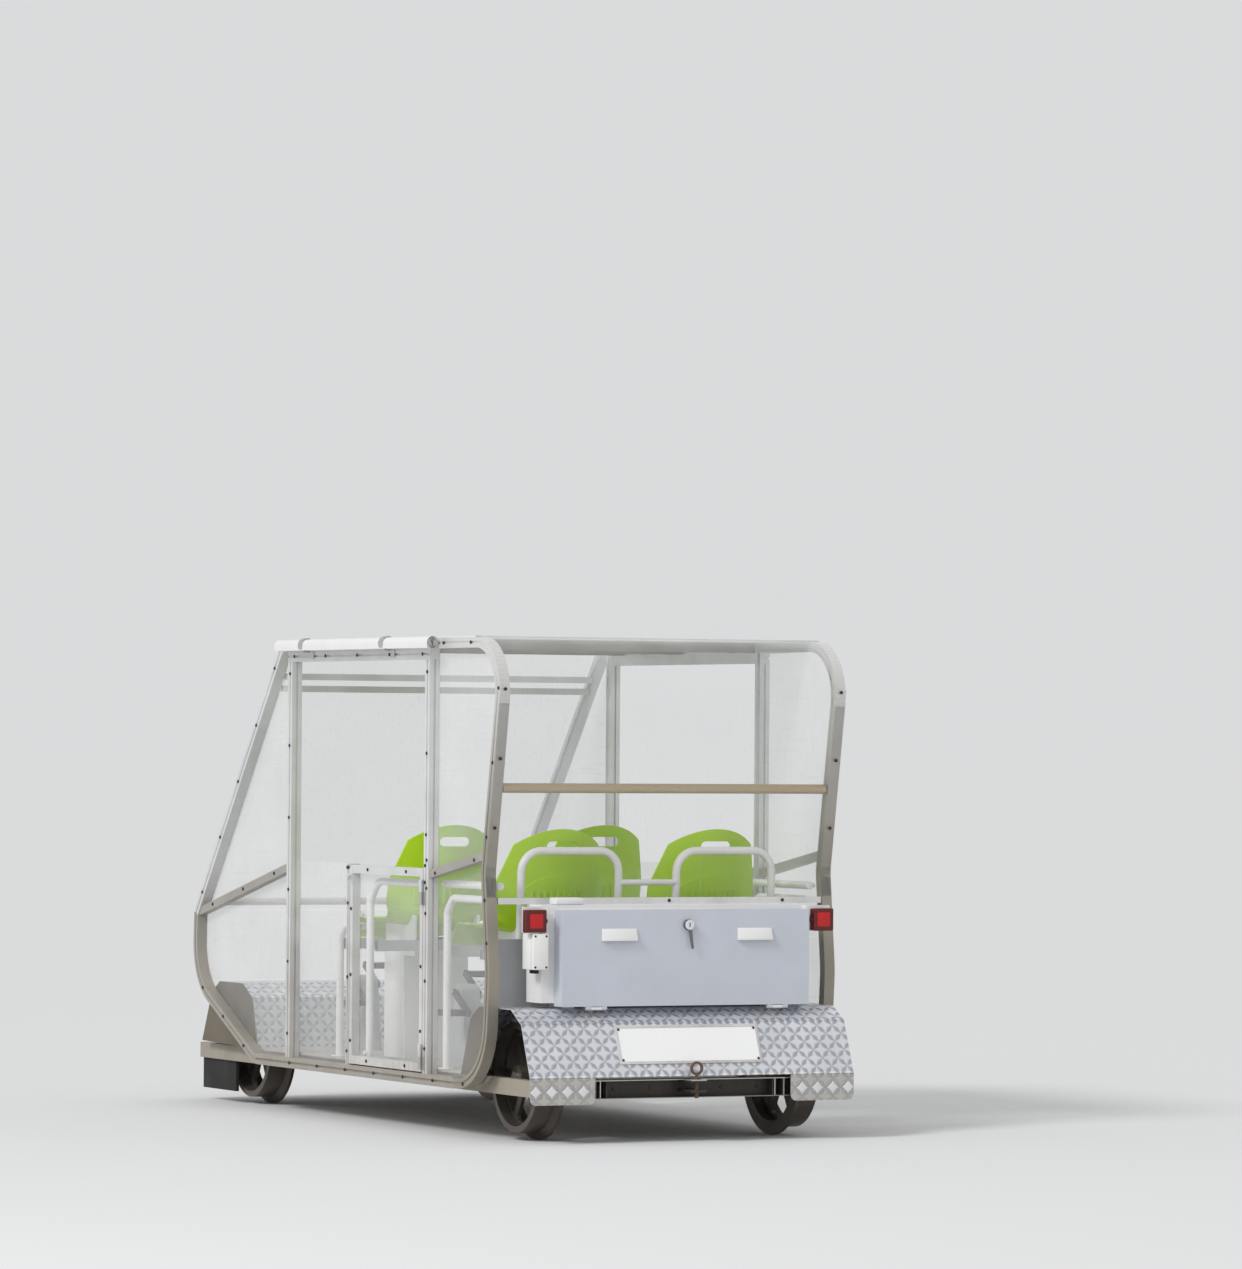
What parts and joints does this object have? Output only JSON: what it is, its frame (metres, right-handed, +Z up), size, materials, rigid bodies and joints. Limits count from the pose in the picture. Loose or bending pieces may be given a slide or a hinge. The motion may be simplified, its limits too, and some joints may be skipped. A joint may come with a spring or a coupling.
{
  "type": "four-seat pedal rail car",
  "caption": "Light pedal-driven rail car with clear panels, bucket seats, side doors, tail cabinet and flanged spoked wheels.",
  "frame": {"origin": "middle of the overall box, at the lowest point of the wheel flanges", "axes": "+X forward along the track, +Y to the left, +Z up"},
  "size_m": [3.107, 1.468, 1.7699],
  "materials": {
    "frame_aluminium": "satin extruded profile",
    "tread_plate": "rolled tread plate",
    "chassis_paint": "satin grey paint",
    "dark_steel": "dark running gear",
    "bright_steel": "machined steel",
    "white_coat": "white powder coat",
    "grey_panel": "satin grey panel",
    "clear_sheet": "clear polycarbonate sheet",
    "roof_sheet": "opal twin-wall sheet",
    "curtain": "rolled vinyl",
    "seat_green": "moulded shell",
    "black_rubber": "rubber",
    "lamp_red": "moulded lens",
    "floor_board": "floor board",
    "crank_steel": "dark crank set",
    "plate_white": "blank plate",
    "arch_brown": "brown-grey paint"
  },
  "bodies": {
    "car": {"arch_plates": "arch_brown", "bearing_beams": "chassis_paint", "bearing_blocks": "dark_steel", "belt_struts": "frame_aluminium", "bulkhead": "grey_panel", "cabinet_body": "white_coat", "coupling_pin": "bright_steel", "cross_bars": "frame_aluminium", "cross_members": "chassis_paint", "curtain_rolls": "curtain", "door_hinges": "bright_steel", "floor_panel": "floor_board", "front_hood": "tread_plate", "front_left_seat": "seat_green", "front_right_seat": "seat_green", "hoops": "white_coat", "junction_box": "white_coat", "lamp_brackets": "white_coat", "nose_hoops": "frame_aluminium", "nose_pane": "clear_sheet", "number_plate": "plate_white", "pedal_columns": "grey_panel", "posts": "frame_aluminium", "rail_guards": "black_rubber", "rear_bumper": "chassis_paint", "rear_hood": "tread_plate", "rear_left_seat": "seat_green", "rear_right_seat": "seat_green", "rear_screen": "clear_sheet", "roll_straps": "bright_steel", "roof_bows": "frame_aluminium", "roof_panel": "roof_sheet", "roof_rails": "frame_aluminium", "screen_pillars": "frame_aluminium", "seat_beams": "grey_panel", "seat_pedestals": "white_coat", "side_guards": "white_coat", "side_panes": "clear_sheet", "side_rails": "chassis_paint", "sills": "frame_aluminium", "tail_hoops": "frame_aluminium", "tail_lamps": "lamp_red", "windscreen": "clear_sheet"},
    "front_wheelset": {"front_axle": "bright_steel", "front_wheels": "dark_steel"},
    "rear_wheelset": {"rear_axle": "bright_steel", "rear_wheels": "dark_steel"},
    "left_door": {"left_door_frame": "frame_aluminium", "left_door_pane": "clear_sheet", "left_door_guard": "white_coat"},
    "right_door": {"right_door_frame": "frame_aluminium", "right_door_pane": "clear_sheet", "right_door_guard": "white_coat"},
    "cabinet_lid": {"cabinet_door": "white_coat", "cabinet_handles": "white_coat"},
    "front_left_pedals": {"front_left_crank": "crank_steel"},
    "front_right_pedals": {"front_right_crank": "crank_steel"},
    "rear_left_pedals": {"rear_left_crank": "crank_steel"},
    "rear_right_pedals": {"rear_right_crank": "crank_steel"}
  },
  "joints": [
    {"name": "front_wheelset_spin", "type": "hinge", "parent": "car", "child": "front_wheelset", "pos_m": [1.1685, 0, 0.22], "axis": [0, 1, 0], "continuous": true},
    {"name": "rear_wheelset_spin", "type": "hinge", "parent": "car", "child": "rear_wheelset", "pos_m": [-1.2115, 0, 0.22], "axis": [0, 1, 0], "continuous": true},
    {"name": "left_door_swing", "type": "hinge", "parent": "car", "child": "left_door", "pos_m": [-0.709, 0.689, 0.525], "axis": [0, 0, 1], "range_deg": [0, 100]},
    {"name": "right_door_swing", "type": "hinge", "parent": "car", "child": "right_door", "pos_m": [-0.709, -0.689, 0.525], "axis": [0, 0, -1], "range_deg": [0, 100]},
    {"name": "cabinet_lid_drop", "type": "hinge", "parent": "car", "child": "cabinet_lid", "pos_m": [-1.4055, -0.025, 0.466], "axis": [0, -1, 0], "range_deg": [0, 90]},
    {"name": "front_left_pedalling", "type": "hinge", "parent": "car", "child": "front_left_pedals", "pos_m": [0.6405, 0.3045, 0.475], "axis": [0, 1, 0], "continuous": true},
    {"name": "front_right_pedalling", "type": "hinge", "parent": "car", "child": "front_right_pedals", "pos_m": [0.6405, -0.3045, 0.475], "axis": [0, 1, 0], "continuous": true},
    {"name": "rear_left_pedalling", "type": "hinge", "parent": "car", "child": "rear_left_pedals", "pos_m": [-0.2725, 0.3045, 0.475], "axis": [0, 1, 0], "continuous": true},
    {"name": "rear_right_pedalling", "type": "hinge", "parent": "car", "child": "rear_right_pedals", "pos_m": [-0.2725, -0.3045, 0.475], "axis": [0, 1, 0], "continuous": true}
  ]
}
